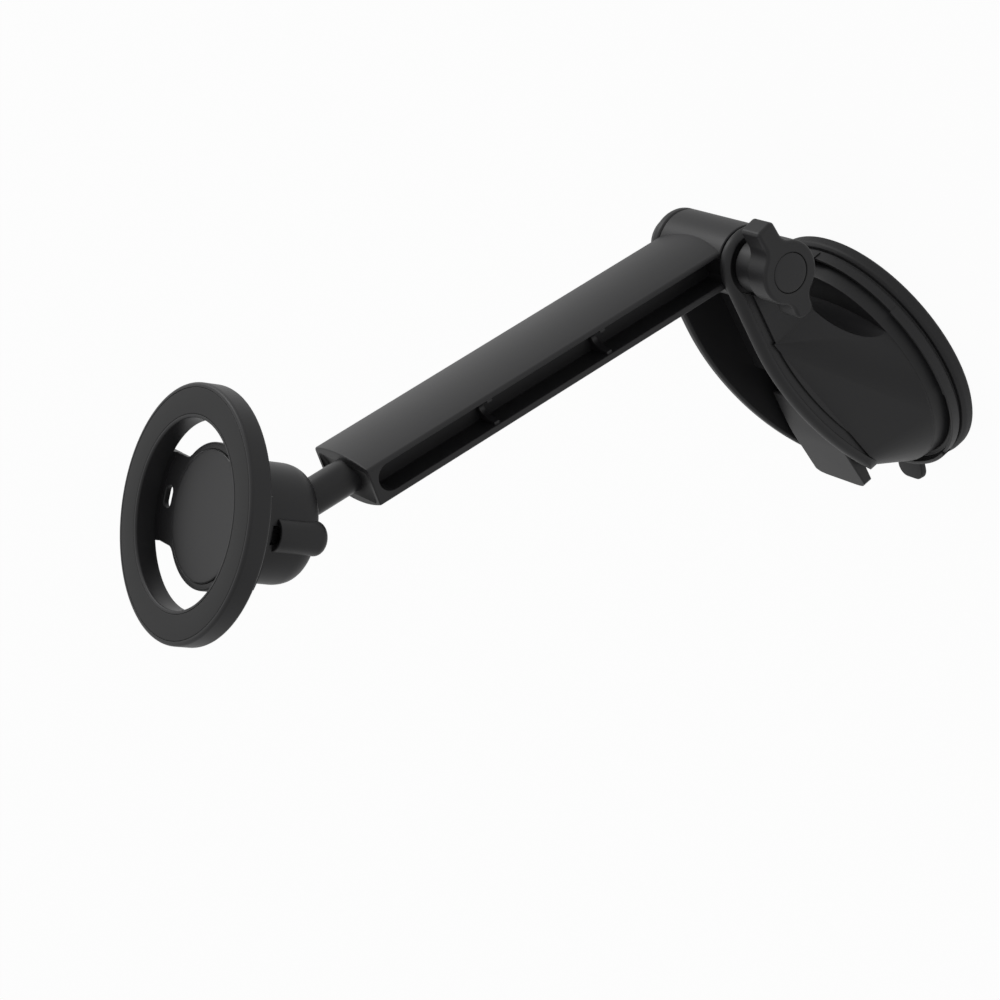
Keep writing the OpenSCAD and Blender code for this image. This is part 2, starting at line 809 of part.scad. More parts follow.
// Bore of the collar nut: thread, cone that squeezes the fingers, flared mouth
module collar_bore() {
    thread_r = socket_r + 0.35;
    waist_r = socket_r - 0.75;
    waist_z = -3.9;
    flare = (collar_mouth - waist_r) / (waist_z - collar_low);
    low = min(collar_low, lobe_low) - past;
    rotate_extrude() polygon([
        [0, low], [collar_mouth + flare * (collar_low - low), low], [waist_r, waist_z],
        [thread_r, -0.2], [thread_r, collar_top + past], [0, collar_top + past]
    ]);
}

// Collar nut with two grip lobes, which squeezes the socket's fingers
module collar_nut() {
    end_r = 11.5;
    side_r = collar_r - end_r;
    shoulder = 4.5;
    core_depth = 7;
    color(black) on_head() difference() {
        union() {
            rotate_extrude() polygon(concat(
                [[0, collar_low], [end_r, collar_low]],
                [for (a = [-75:15:0]) [end_r + side_r * cos(a), collar_low + shoulder * (1 + sin(a))]],
                [[collar_r, collar_top], [0, collar_top]]
            ));
            for (side = [-90, 90]) rotate(side) translate([lobe_at, 0, lobe_low])
                cylinder(r = lobe_r, h = lobe_top - lobe_low);
        }
        collar_bore();
        for (side = [-90, 90]) rotate(side) translate([lobe_at + 1.6, 0, lobe_top - core_depth])
            cylinder(r = 1.5, h = core_depth + 3, $fn = 48);
    }
}

suction_cup();
cup_membrane();
base_plate();
housing();
housing_screws();
release_spring();
friction_washers();
bolt_nut();
cup_stud();
lever_pin();
cam_lever();
arm();
ball_stud();
stud_pin();
clamp_bolt();
clamp_knob();
knob_cap();
ball_seat();
ball_band();
ball_socket();
head_frame();
ring_cover();
magnet_ring();
shunt_ring();
face_pad();
hub_cap();
hub_screws();
collar_nut();
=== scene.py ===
"""Dresses the suction cup holder: moulded black plastic, soft rubber and a magnetic ring head.

Lengths in the drawing values are millimetres; MM turns them into Blender's metres.
"""

import json
import math

import bmesh
import bpy
from mathutils import Matrix, Vector


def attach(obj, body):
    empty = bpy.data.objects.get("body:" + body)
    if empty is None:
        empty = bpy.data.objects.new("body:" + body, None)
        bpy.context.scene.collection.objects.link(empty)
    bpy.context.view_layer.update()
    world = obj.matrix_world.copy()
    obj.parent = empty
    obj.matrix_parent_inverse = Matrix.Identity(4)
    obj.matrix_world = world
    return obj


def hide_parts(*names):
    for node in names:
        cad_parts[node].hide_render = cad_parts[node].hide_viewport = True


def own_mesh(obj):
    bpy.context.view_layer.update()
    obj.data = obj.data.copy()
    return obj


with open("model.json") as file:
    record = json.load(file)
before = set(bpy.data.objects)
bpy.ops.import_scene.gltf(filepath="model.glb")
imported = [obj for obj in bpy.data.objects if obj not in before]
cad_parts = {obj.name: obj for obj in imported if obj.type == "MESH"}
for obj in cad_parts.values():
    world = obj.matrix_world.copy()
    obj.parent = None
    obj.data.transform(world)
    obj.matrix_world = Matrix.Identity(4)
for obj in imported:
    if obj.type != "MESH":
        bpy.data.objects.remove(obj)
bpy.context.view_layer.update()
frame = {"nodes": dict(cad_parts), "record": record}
MM = 0.001


class Wire:
    """A socket in a finish. Arithmetic on it adds Math nodes."""

    def __init__(self, finish, socket):
        self.finish = finish
        self.socket = socket

    def math(self, operation, *values):
        return self.finish.node("ShaderNodeMath", {"operation": operation}, dict(enumerate(values)))

    def __add__(self, other):
        return self.math("ADD", self, other)

    def __sub__(self, other):
        return self.math("SUBTRACT", self, other)

    def __rsub__(self, other):
        return self.math("SUBTRACT", other, self)

    def __mul__(self, other):
        return self.math("MULTIPLY", self, other)

    __radd__ = __add__
    __rmul__ = __mul__


class Finish:
    """The nodes that paint a material or the world."""

    def __init__(self, owner):
        self.owner = owner
        owner.use_nodes = True
        self.tree = owner.node_tree
        self.tree.nodes.clear()

    def node(self, kind, settings=None, inputs=None, output=0):
        """Adds a node with these settings and inputs, and gives a wire from one of its outputs."""
        made = self.tree.nodes.new(kind)
        for key, value in (settings or {}).items():
            setattr(made, key, value)
        for key, value in (inputs or {}).items():
            if isinstance(value, Wire):
                self.tree.links.new(value.socket, made.inputs[key])
            else:
                made.inputs[key].default_value = value
        return Wire(self, made.outputs[output]) if made.outputs else made

    def close(self, shader):
        """Ends a material with this shader."""
        self.node("ShaderNodeOutputMaterial", inputs={"Surface": shader})
        return self.owner


def moulded(name, colour, roughness, grain):
    """Moulded plastic or rubber with a grain of that size in mm, cloudy gloss and faint mottling."""
    mottling, cloud_scale, grain_height = 0.14, 55.0, 0.04 * MM
    dark, light = [(*[c * share for c in colour], 1) for share in (1 - mottling, 1 + mottling)]
    finish = Finish(bpy.data.materials.new(name))
    place = finish.node("ShaderNodeTexCoord", output="Object")
    cloud = finish.node("ShaderNodeTexNoise", inputs={"Vector": place, "Scale": cloud_scale, "Detail": 3.0})
    fine = finish.node("ShaderNodeTexNoise", inputs={
        "Vector": place, "Scale": 1 / (grain * MM), "Detail": 2.0})
    tint = finish.node("ShaderNodeMix", {"data_type": "RGBA"}, {0: cloud, 6: dark, 7: light}, output=2)
    glossiest, cloud_share, grain_share = roughness - 0.05, 0.07, 0.05
    gloss = glossiest + cloud_share * cloud + grain_share * fine
    bump = finish.node("ShaderNodeBump", inputs={"Strength": 0.12, "Distance": grain_height, "Height": fine})
    shader = finish.node("ShaderNodeBsdfPrincipled", inputs={
        "Base Color": tint, "Roughness": gloss, "Normal": bump})
    return finish.close(shader)


def metal(name, colour, roughness):
    """Plated metal whose gloss changes in small clouds."""
    cloud_scale = 400.0
    finish = Finish(bpy.data.materials.new(name))
    place = finish.node("ShaderNodeTexCoord", output="Object")
    cloud = finish.node("ShaderNodeTexNoise", inputs={"Vector": place, "Scale": cloud_scale, "Detail": 3.0})
    shader = finish.node("ShaderNodeBsdfPrincipled", inputs={
        "Base Color": (*colour, 1), "Roughness": roughness + 0.12 * cloud, "Metallic": 1.0})
    return finish.close(shader)


# Colour, roughness and, for the moulded ones, the size of the grain
FINISHES = {
    "moulded_black": moulded("moulded_black", (0.0135, 0.0133, 0.0145), 0.44, 0.22),
    "satin_black": moulded("satin_black", (0.0125, 0.0123, 0.0135), 0.34, 0.30),
    "soft_rubber": moulded("soft_rubber", (0.016, 0.0158, 0.017), 0.55, 0.30),
    "pad_rubber": moulded("pad_rubber", (0.016, 0.016, 0.0165), 0.60, 0.25),
    "inner_nylon": moulded("inner_nylon", (0.016, 0.016, 0.017), 0.50, 0.30),
    "screw_steel": metal("screw_steel", (0.55, 0.55, 0.56), 0.25),
    "magnet_plating": metal("magnet_plating", (0.60, 0.60, 0.58), 0.22),
}

for part in frame["record"]["subparts"]:
    node = frame["nodes"][part["node"]]
    node.data.materials.clear()
    node.data.materials.append(FINISHES[part["material_slot"]])


def camera():
    """The camera at the photograph's place."""
    lens = bpy.data.cameras.new("camera")
    lens.sensor_fit = "HORIZONTAL"
    lens.sensor_width = 36
    lens.lens = 97.811
    lens.clip_end = 50
    right = Vector((-0.4157, -0.55143, -0.72327))
    up = Vector((0.75197, 0.23894, -0.61437))
    back = Vector((0.5116, -0.79927, 0.31533))
    place = Vector((366.415, -514.428, 314.510)) * MM
    body = bpy.data.objects.new("camera", lens)
    body.matrix_world = Matrix.Translation(place) @ Matrix((right, up, back)).transposed().to_4x4()
    bpy.context.scene.collection.objects.link(body)
    bpy.context.scene.camera = body


# Places of the joints, and the frames of the leaning pieces
joints = {joint["name"]: joint for joint in frame["record"]["behaviour"]["joints"]}
body_of = {node: body for body, nodes in frame["record"]["behaviour"]["bodies"].items() for node in nodes}
slot_of = {part["node"]: part["material_slot"] for part in frame["record"]["subparts"]}
elbow = Vector(joints["elbow"]["pos_m"]) / MM
ball = Vector(joints["ball_tilt"]["pos_m"]) / MM
ARM_LEAN = math.radians(8.4)
HEAD_LEAN = math.radians(45)
LEVEL = Matrix()
ON_ARM = Matrix.Translation(elbow) @ Matrix.Rotation(ARM_LEAN, 4, "Y")
ON_HEAD = Matrix.Translation(ball) @ Matrix.Rotation(HEAD_LEAN, 4, "Y")
# Lays an outline drawn in X and Z, and sets it off towards -Y
ACROSS = Matrix(((1, 0, 0, 0), (0, 0, -1, 0), (0, 1, 0, 0), (0, 0, 0, 1)))


def arc(x, y, radius, start, end, steps):
    """Points on an arc, angles in degrees counted anticlockwise from +x."""
    angles = [math.radians(start + (end - start) * i / steps) for i in range(steps + 1)]
    return [(x + radius * math.cos(a), y + radius * math.sin(a)) for a in angles]


def rounded(corners, steps=6):
    """Closed outline through corners (x, y, radius), each turned into an arc of its radius."""
    points = []
    for i, (x, y, radius) in enumerate(corners):
        here = Vector((x, y))
        to_last = (Vector(corners[i - 1][:2]) - here).normalized()
        to_next = (Vector(corners[(i + 1) % len(corners)][:2]) - here).normalized()
        half = to_last.angle(to_next) / 2
        if radius == 0 or half > math.radians(89.5):
            points.append((x, y))
            continue
        middle = here + (to_last + to_next).normalized() * radius / math.sin(half)
        first = here + to_last * radius / math.tan(half) - middle
        last = here + to_next * radius / math.tan(half) - middle
        start = math.degrees(math.atan2(first.y, first.x))
        sweep = math.degrees(-first.angle_signed(last))
        points += arc(middle.x, middle.y, radius, start, start + sweep, steps)
    return points


def inset(outline, distance):
    """The outline moved inwards by distance; it runs anticlockwise."""
    moved = []
    for i, point in enumerate(outline):
        before = (Vector(point) - Vector(outline[i - 1])).normalized()
        after = (Vector(outline[(i + 1) % len(outline)]) - Vector(point)).normalized()
        inward = Vector((-before.y - after.y, before.x + after.x)) / max(0.3, 1 + before.dot(after))
        moved.append(tuple(Vector(point) + inward * distance))
    return moved


def solid(name, loops, place, closed=False):
    """Mesh through loops of points; the ends are capped, or joined where closed is set."""
    mesh = bpy.data.meshes.new(name)
    count = len(loops[0])
    points = [place @ Vector(point) * MM for loop in loops for point in loop]
    faces = []
    for i in range(len(loops) if closed else len(loops) - 1):
        low, high = i * count, (i + 1) % len(loops) * count
        faces += [(low + k, low + (k + 1) % count, high + (k + 1) % count, high + k) for k in range(count)]
    if not closed:
        faces += [tuple(range(count))[::-1], tuple(range(len(points) - count, len(points)))]
    mesh.from_pydata(points, [], faces)
    tidy(mesh)
    body = bpy.data.objects.new(name, mesh)
    bpy.context.scene.collection.objects.link(body)
    return body


def tidy(mesh):
    """Closes seams and poles, and turns the faces outwards."""
    bm = bmesh.new()
    bm.from_mesh(mesh)
    bmesh.ops.remove_doubles(bm, verts=bm.verts, dist=0.002 * MM)
    bmesh.ops.dissolve_degenerate(bm, edges=bm.edges, dist=0.001 * MM)
    bmesh.ops.recalc_face_normals(bm, faces=bm.faces)
    bm.to_mesh(mesh)
    bm.free()


def slab(name, outline, low, high, rim_low=0.0, rim_high=0.0, place=LEVEL, steps=4):
    """Outline set off from low to high, with rims of these radii; a negative rim flares outwards."""
    layers = []
    for rim, level, sign in ((rim_low, low, 1), (rim_high, high, -1)):
        size = abs(rim)
        angles = [math.pi / 2 * k / steps for k in range(steps + 1)] if rim else [math.pi / 2]
        run = [(rim * (1 - math.sin(a)), level + sign * size * (1 - math.cos(a))) for a in angles]
        if rim < 0:
            run.insert(0, (rim, level - sign))
        layers += run if sign == 1 else run[::-1]
    loops = [[(x, y, z) for x, y in inset(outline, step)] for step, z in layers]
    return solid(name, loops, place)


def lathe(name, profile, place=LEVEL, steps=144, loop=False):
    """Profile of (radius, z) turned round z; loop joins its end to its start."""
    turn = [(math.cos(2 * math.pi * k / steps), math.sin(2 * math.pi * k / steps)) for k in range(steps)]
    return solid(name, [[(r * c, r * s, z) for c, s in turn] for r, z in profile], place, closed=loop)


def circle(radius, x=0.0, y=0.0, steps=96):
    """Closed outline of a circle round (x, y)."""
    return arc(x, y, radius, 0, 360 * (1 - 1 / steps), steps - 1)


def cut(body, *tools, operation="DIFFERENCE"):
    """Boolean of the body with each tool in turn; the tools are used up."""
    for tool in tools:
        change = body.modifiers.new("cut", "BOOLEAN")
        change.operation = operation
        change.solver = "EXACT"
        change.object = tool
        bake(body)
        bpy.data.objects.remove(tool)
    return body


def add(body, *others):
    """Joins the others to the body; they are used up."""
    return cut(body, *others, operation="UNION")


def bake(body):
    """Turns the body's modifiers into its mesh."""
    bpy.context.view_layer.update()
    seen = body.evaluated_get(bpy.context.evaluated_depsgraph_get())
    made = bpy.data.meshes.new_from_object(seen)
    body.modifiers.clear()
    body.data = made
    made.name = body.name


class Growth:
    """Geometry node tree with named sizes, which grows a seed mesh into a finished one."""

    def __init__(self, name, **sizes):
        self.name = name
        self.sizes = sizes
        self.tree = bpy.data.node_groups.new(name, "GeometryNodeTree")
        sockets = self.tree.interface
        sockets.new_socket(name="Seed", in_out="INPUT", socket_type="NodeSocketGeometry")
        sockets.new_socket(name="Grown", in_out="OUTPUT", socket_type="NodeSocketGeometry")
        for key, value in sizes.items():
            kind = "NodeSocketInt" if isinstance(value, int) else "NodeSocketFloat"
            sockets.new_socket(name=key, in_out="INPUT", socket_type=kind)
        self.start = self.tree.nodes.new("NodeGroupInput")

    def __getitem__(self, key):
        return self.start.outputs[key]

    def node(self, kind, settings=None, inputs=None, output=0):
        """Adds a node with these settings and inputs, and gives one of its outputs."""
        made = self.tree.nodes.new(kind)
        for key, value in (settings or {}).items():
            setattr(made, key, value)
        for key, value in (inputs or {}).items():
            if isinstance(value, bpy.types.NodeSocket):
                self.tree.links.new(value, made.inputs[key])
            else:
                made.inputs[key].default_value = value
        return made.outputs[output]

    def grow(self, seed, grown, slot, place=LEVEL):
        """Turns the seed into what the tree makes of it, moved to its place."""
        plain = self.node("GeometryNodeRealizeInstances", inputs={"Geometry": grown})
        painted = self.node("GeometryNodeSetMaterial", inputs={"Geometry": plain, "Material": FINISHES[slot]})
        end = self.tree.nodes.new("NodeGroupOutput")
        self.tree.links.new(painted, end.inputs["Grown"])
        change = seed.modifiers.new(self.name, "NODES")
        change.node_group = self.tree
        for socket in self.tree.interface.items_tree:
            if socket.in_out == "INPUT" and socket.name in self.sizes:
                change[socket.identifier] = self.sizes[socket.name]
        bake(seed)
        seed.data.transform(place)
        return seed


def turned_copies(name, seed, count, slot, place=LEVEL):
    """The seed repeated evenly round z."""
    growth = Growth(name, Count=count, Step=2 * math.pi / count)
    points = growth.node("GeometryNodePoints", inputs={"Count": growth["Count"]})
    order = growth.node("GeometryNodeInputIndex")
    turn = growth.node("ShaderNodeMath", {"operation": "MULTIPLY"}, {0: order, 1: growth["Step"]})
    spin = growth.node("ShaderNodeCombineXYZ", inputs={"Z": turn})
    copies = growth.node("GeometryNodeInstanceOnPoints", inputs={
        "Points": points, "Instance": growth["Seed"], "Rotation": spin})
    return growth.grow(seed, copies, slot, place)


def grid_copies(name, seed, columns, rows, width, depth, slot, place=LEVEL):
    """The seed repeated on a grid of that width (along x) and depth (along y), in mm."""
    growth = Growth(name, Columns=columns, Rows=rows, Width=width * MM, Depth=depth * MM)
    points = growth.node("GeometryNodeMeshGrid", inputs={
        "Size X": growth["Width"], "Size Y": growth["Depth"],
        "Vertices X": growth["Columns"], "Vertices Y": growth["Rows"]})
    copies = growth.node("GeometryNodeInstanceOnPoints", inputs={
        "Points": points, "Instance": growth["Seed"]})
    return growth.grow(seed, copies, slot, place)


def metres(place):
    """The same place for points that are already in metres."""
    turned = place.copy()
    turned.translation = place.translation * MM
    return turned


def dress(piece, node, crease=32, even=False):
    """Gives a piece its finish and its body, and lets it stand for its node; even shades flats flat."""
    slot = slot_of[node]
    tidy(piece.data)
    piece.data.materials.clear()
    piece.data.materials.append(FINISHES[slot])
    piece.data.shade_smooth()
    piece.data.set_sharp_from_angle(angle=math.radians(crease))
    if even:
        change = piece.modifiers.new("even", "WEIGHTED_NORMAL")
        change.keep_sharp = True
        bake(piece)
    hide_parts(node)
    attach(piece, body_of[node])
    return piece


# Elbow: radius of the knuckle and of the ears round it, and of the bolt's bore
KNUCKLE_R = 8.94
BOLT_R = 2.7
# Ears: inner and outer side, radii of their rims, top, front end, and steps of their three arcs
EAR_IN = 12.34
EAR_OUT = 15.5
EAR_INNER_RIM = 0.8
NEAR_RIM = 2.2
FAR_RIM = 1.5
EAR_TOP = elbow.z + KNUCKLE_R
EAR_END = -21.5
EAR_STEPS = (40, 10, 26)
# Base plate and the dome's round foot on it
PLATE_Z = 10.7
PLATE_R = 30
# Dome: front end, top and slope of its crest, start of its flanks, radius of its front corners
CREST_END = -20.5
CREST_BEND = 34
CREST_TOP = EAR_TOP - 2.94
CREST_FALL = math.tan(math.radians(14.3))
FLANK_X = 30
FRONT_R = 7
NECK_LOW = elbow.z - KNUCKLE_R
# Top of the web between the ears, and of the lever that lies level with it
WEB_Z = 27.6
# Lever: half its width, its back end, and the height of its pin
LEVER_HALF = 10.0
LEVER_BACK = 2.5
PIN_Z = joints["lever_turn"]["pos_m"][2] / MM
# Arm: half its width, and the slots along its sides
ARM_HALF = 12
SLOT_LOW = -1.8
SLOT_TOP = 4.9
# Head, measured from the ball: the plane between ring cover and frame, and the hub's front
RING_SPLIT = 18.0
HUB_TOP = 16.4
# Reach of a cut that has to pass right through
THROUGH = 60


def crest_z(x):
    """Height of the dome's crest."""
    return CREST_TOP - max(0, CREST_BEND - x) * CREST_FALL


def front_plan(front, half_width, radius):
    """Plan with rounded front corners, whose sides run far past the elbow."""
    back = elbow.x + 30
    return rounded([(front, half_width, radius), (front, -half_width, radius),
                    (back, -half_width, 0), (back, half_width, 0)], 16)


def ear_outline():
    """Ear in X and Z: round the knuckle, then along the front edge's short and long arcs."""
    bend_r, bend, fall_r, fall, fall_x = 81, 10.8, 110, 32.2, 16.5
    root_x, low = 36, PLATE_Z - 4
    round_steps, bend_steps, fall_steps = EAR_STEPS
    bend_x = fall_x + bend_r * math.sin(math.radians(bend))
    fall_mid_x = fall_x + fall_r * math.sin(math.radians(bend))
    fall_mid_z = EAR_TOP - bend_r + (bend_r - fall_r) * math.cos(math.radians(bend))
    return (arc(elbow.x, elbow.z, KNUCKLE_R, -90, 90, round_steps)
            + arc(bend_x, EAR_TOP - bend_r, bend_r, 90, 90 + bend, bend_steps)
            + arc(fall_mid_x, fall_mid_z, fall_r, 90 + bend, 90 + fall, fall_steps)[1:]
            + [(EAR_END, low), (root_x, low), (root_x, NECK_LOW)])


def dome():
    """Skin stretched from the round foot to the crest, whose front corners are rounded."""
    foot_edge = 0.5
    plan = [point for point in front_plan(CREST_END, EAR_OUT, FRONT_R) if point[0] < FLANK_X]
    plan += [(FLANK_X, -EAR_OUT), (FLANK_X, EAR_OUT)]
    points = [(x, y, z) for x, y in plan for z in (PLATE_Z, crest_z(x))]
    points += [(x, y, z) for x, y in circle(PLATE_R, steps=160) for z in (PLATE_Z, PLATE_Z + foot_edge)]
    points = [point for point in points if point[0] < FLANK_X - 0.01 or point[2] > NECK_LOW]
    bm = bmesh.new()
    for point in points + [(FLANK_X, side * EAR_OUT, NECK_LOW) for side in (-1, 1)]:
        bm.verts.new(Vector(point) * MM)
    made = bmesh.ops.convex_hull(bm, input=bm.verts)
    bmesh.ops.delete(bm, geom=list(set(made["geom_interior"] + made["geom_unused"])), context="VERTS")
    bmesh.ops.dissolve_limit(bm, angle_limit=math.radians(0.01), verts=bm.verts, edges=bm.edges)
    mesh = bpy.data.meshes.new("dome")
    bm.to_mesh(mesh)
    bm.free()
    body = bpy.data.objects.new("dome", mesh)
    bpy.context.scene.collection.objects.link(body)
    return body


def box(name, low, high):
    """Box between two opposite corners."""
    outline = [(low[0], low[1]), (high[0], low[1]), (high[0], high[1]), (low[0], high[1])]
    return slab(name, outline, low[2], high[2])


def back_hollow():
    """Space behind and under the neck, an arc in plan."""
    plan_r, radius, back_x, sink = 60, 11, 22.5, 0.1
    middle = plan_r + radius
    profile = arc(middle, PLATE_Z - sink, radius, 90, 270, 36)
    profile += [(middle + THROUGH, PLATE_Z - radius), (middle + THROUGH, PLATE_Z + radius)]
    return lathe("back_hollow", profile, Matrix.Translation((back_x - plan_r, 0, 0)), 240, loop=True)


def ear(side):
    """Ear with rounded rims and a groove behind its front edge; side 1 is the knob's side."""
    rims = (EAR_INNER_RIM, NEAR_RIM) if side > 0 else (FAR_RIM, EAR_INNER_RIM)
    body = slab("ear", ear_outline(), *sorted((side * EAR_IN, side * EAR_OUT)), *rims, ACROSS, 6)
    groove_start, groove_end, depth, flare = 2.4, 4.6, 0.8, -0.2
    along = slice(EAR_STEPS[0], 1 + sum(EAR_STEPS))
    groove = inset(ear_outline(), groove_start)[along] + inset(ear_outline(), groove_end)[along][::-1]
    level = sorted((side * (EAR_OUT - depth), side * EAR_OUT))
    edges = (0, flare) if side > 0 else (flare, 0)
    cut(body, slab("ear_groove", groove, *level, *edges, ACROSS))
    return cut(body, slab("ear_column", front_plan(EAR_END, EAR_OUT + 0.1, FRONT_R), 0, THROUGH),
               operation="INTERSECT")


def housing():
    """Dome, neck and the two ears, in one moulding."""
    # Rooms for arm, lever and tongue, bounded in X; the ears close their sides
    inside = (EAR_IN + EAR_OUT) / 2
    lever_back, lever_front, tongue_under = 10, -14, 22.7
    body = cut(
        dome(),
        box("arm_room", (lever_back - 1, -inside, WEB_Z - 1), (70, inside, THROUGH)),
        box("lever_room", (lever_front, -inside, PLATE_Z - 1), (lever_back, inside, THROUGH)),
        box("tongue_room", (-40, -inside, tongue_under), (0, inside, THROUGH)))
    for side in (-1, 1):
        add(body, ear(side))
    web_bury = 0.5
    boss_r, boss_end, recess_r, recess_depth = 6.8, -18.6, 7.6, 1.4
    nut_r, nut_end, nut_start = 4.7, -19, -15
    add(body, box("web", (lever_back, -EAR_IN - web_bury, PLATE_Z), (elbow.x, EAR_IN + web_bury, WEB_Z)))
    add(body, slab("nut_boss", circle(boss_r, elbow.x, elbow.z), boss_end, -EAR_IN - 1, 1.4, 0, ACROSS))
    cut(body, back_hollow(),
        box("floor_room", (-80, -80, -20), (90, 80, PLATE_Z)),
        slab("knuckle_room", circle(KNUCKLE_R + 0.4, elbow.x, elbow.z), -EAR_IN + 0.01, EAR_IN - 0.01,
             place=ACROSS),
        slab("drum_recess", circle(recess_r, elbow.x, elbow.z), EAR_OUT - recess_depth, EAR_OUT, 0, -0.4,
             ACROSS),
        slab("bolt_bore", circle(BOLT_R, elbow.x, elbow.z), -30, 30, place=ACROSS),
        slab("nut_pocket", circle(nut_r, elbow.x, elbow.z, 6), nut_end, nut_start, place=ACROSS))
    return dress(body, "housing", even=True)


def arm():
    """Crowned beam with its knuckle, a slot along each side and a dished free end."""
    length, top, crown, low, belly = 112.3, 5.9, 1.5, -3.3, 2.0
    edge_top, edge_low, edge = 1.1, 0.5, 0.35
    crown_r = (ARM_HALF ** 2 + crown ** 2) / (2 * crown)
    belly_r = (ARM_HALF ** 2 + belly ** 2) / (2 * belly)
    crown_half = math.degrees(math.asin(ARM_HALF / crown_r))
    belly_half = math.degrees(math.asin(ARM_HALF / belly_r))
    upper = arc(top + crown - crown_r, 0, crown_r, -crown_half, crown_half, 20)
    under = arc(low - belly + belly_r, 0, belly_r, 180 - belly_half, 180 + belly_half, 20)
    section = rounded(
        [(*upper[0], edge_top)] + [(*p, 0) for p in upper[2:-2]] + [(*upper[-1], edge_top)]
        + [(*under[0], edge_low)] + [(*p, 0) for p in under[1:-1]] + [(*under[-1], edge_low)])
    body = slab("arm", section, 0, length, 0, edge, ON_ARM)
    in_plane = ON_ARM @ ACROSS
    add(body, slab("knuckle", circle(KNUCKLE_R), -ARM_HALF, ARM_HALF, edge, edge, in_plane))
    start, end, depth, start_r, flare = 7, 110.4, 7, 1.5, -0.4
    end_r = (SLOT_TOP - SLOT_LOW) / 2 - 0.02
    slot = rounded([(SLOT_LOW, start, start_r), (SLOT_TOP, start, start_r),
                    (SLOT_TOP, end, end_r), (SLOT_LOW, end, end_r)], 12)
    for side in (-1, 1):
        level = sorted((side * (ARM_HALF - depth), side * ARM_HALF))
        rims = (0.0, flare) if side > 0 else (flare, 0.0)
        cut(body, slab("slot", slot, *level, *rims, in_plane))
    dish_half, dish_depth, dish_mid, dish_wall, dish_rim = 4.15, 1.2, 0.85, 1.2, 0.8
    dish_r = (dish_half ** 2 + dish_depth ** 2) / (2 * dish_depth)
    cut(body, slab("dish", circle(dish_r, dish_mid, length + dish_r - dish_depth, 160),
                   dish_wall - ARM_HALF, ARM_HALF - dish_wall, dish_rim, dish_rim, in_plane))
    washer_r, washer_seat = 7.9, 11.69
    for side in (-1, 1):
        level = sorted((side * washer_seat, side * (ARM_HALF + 1)))
        cut(body, slab("washer_seat", circle(washer_r), *level, place=in_plane))
    cut(body, slab("bolt_bore", circle(BOLT_R), -20, 20, place=in_plane))
    add(body, *slot_ribs())
    return dress(body, "arm", even=True)


def knob_outline():
    """Round body with two wings, and a hollow fillet on each side of a wing."""
    body_r, fillet = 7.8, 4.0
    points = []
    for turn, reach, half, tip in ((5.5, 14.1, 2.65, 1.1), (177, 12.3, 2.6, 1.8)):
        across = half + fillet
        along = math.sqrt((body_r + fillet) ** 2 - across ** 2)
        lean = math.degrees(math.atan2(across, along))
        wing = arc(along, -across, fillet, 180 - lean, 90, 8)
        wing += arc(reach - tip, tip - half, tip, -90, 0, 6) + arc(reach - tip, half - tip, tip, 0, 90, 6)
        wing += arc(along, across, fillet, 270, 180 + lean, 8)
        turned = Matrix.Rotation(math.radians(turn), 2)
        points.append([tuple(turned @ Vector(point)) for point in wing])
    bodies = []
    for one, other in ((0, 1), (1, 0)):
        start = math.degrees(math.atan2(points[one][-1][1], points[one][-1][0]))
        end = math.degrees(math.atan2(points[other][0][1], points[other][0][0]))
        end += 360 if end < start else 0
        bodies.append(arc(0, 0, body_r, start, end, 24)[1:-1])
    return points[0] + bodies[0] + points[1] + bodies[1]


def knob():
    """Two-winged knob on its drum, with a cap in its face."""
    face, thick, drum_r, drum_start = 28.5, 6.8, 6.8, 15.9
    seat_r, seat_depth, head_r, head_depth, bore_r = 4.97, 1.3, 4.7, 5.4, 2.55
    place = Matrix.Translation((elbow.x, 0, elbow.z)) @ ACROSS
    body = slab("clamp_knob", knob_outline(), face - thick, face, 0.5, 0.9, place, 6)
    add(body, slab("drum", circle(drum_r), drum_start, face - thick + 1, 0.4, 0, place))
    cut(body, slab("cap_seat", circle(seat_r), face - seat_depth, face, 0, -0.2, place),
        slab("head_pocket", circle(head_r, steps=6), face - head_depth, face - 1, place=place),
        slab("bolt_bore", circle(bore_r), 10, face, place=place))
    dress(body, "clamp_knob", even=True)
    cap_r, cap_edge, cap_back = 4.9, 0.3, 1.25
    cap = [(0, face - cap_back), (cap_r, face - cap_back), (cap_r, face - cap_edge)]
    cap += arc(cap_r - cap_edge, face - 0.1 - cap_edge, cap_edge, 0, 90, 4)
    cap += [(3.6, face - 0.06), (0, face - 0.04)]
    dress(lathe("knob_cap", cap, place), "knob_cap", crease=40)


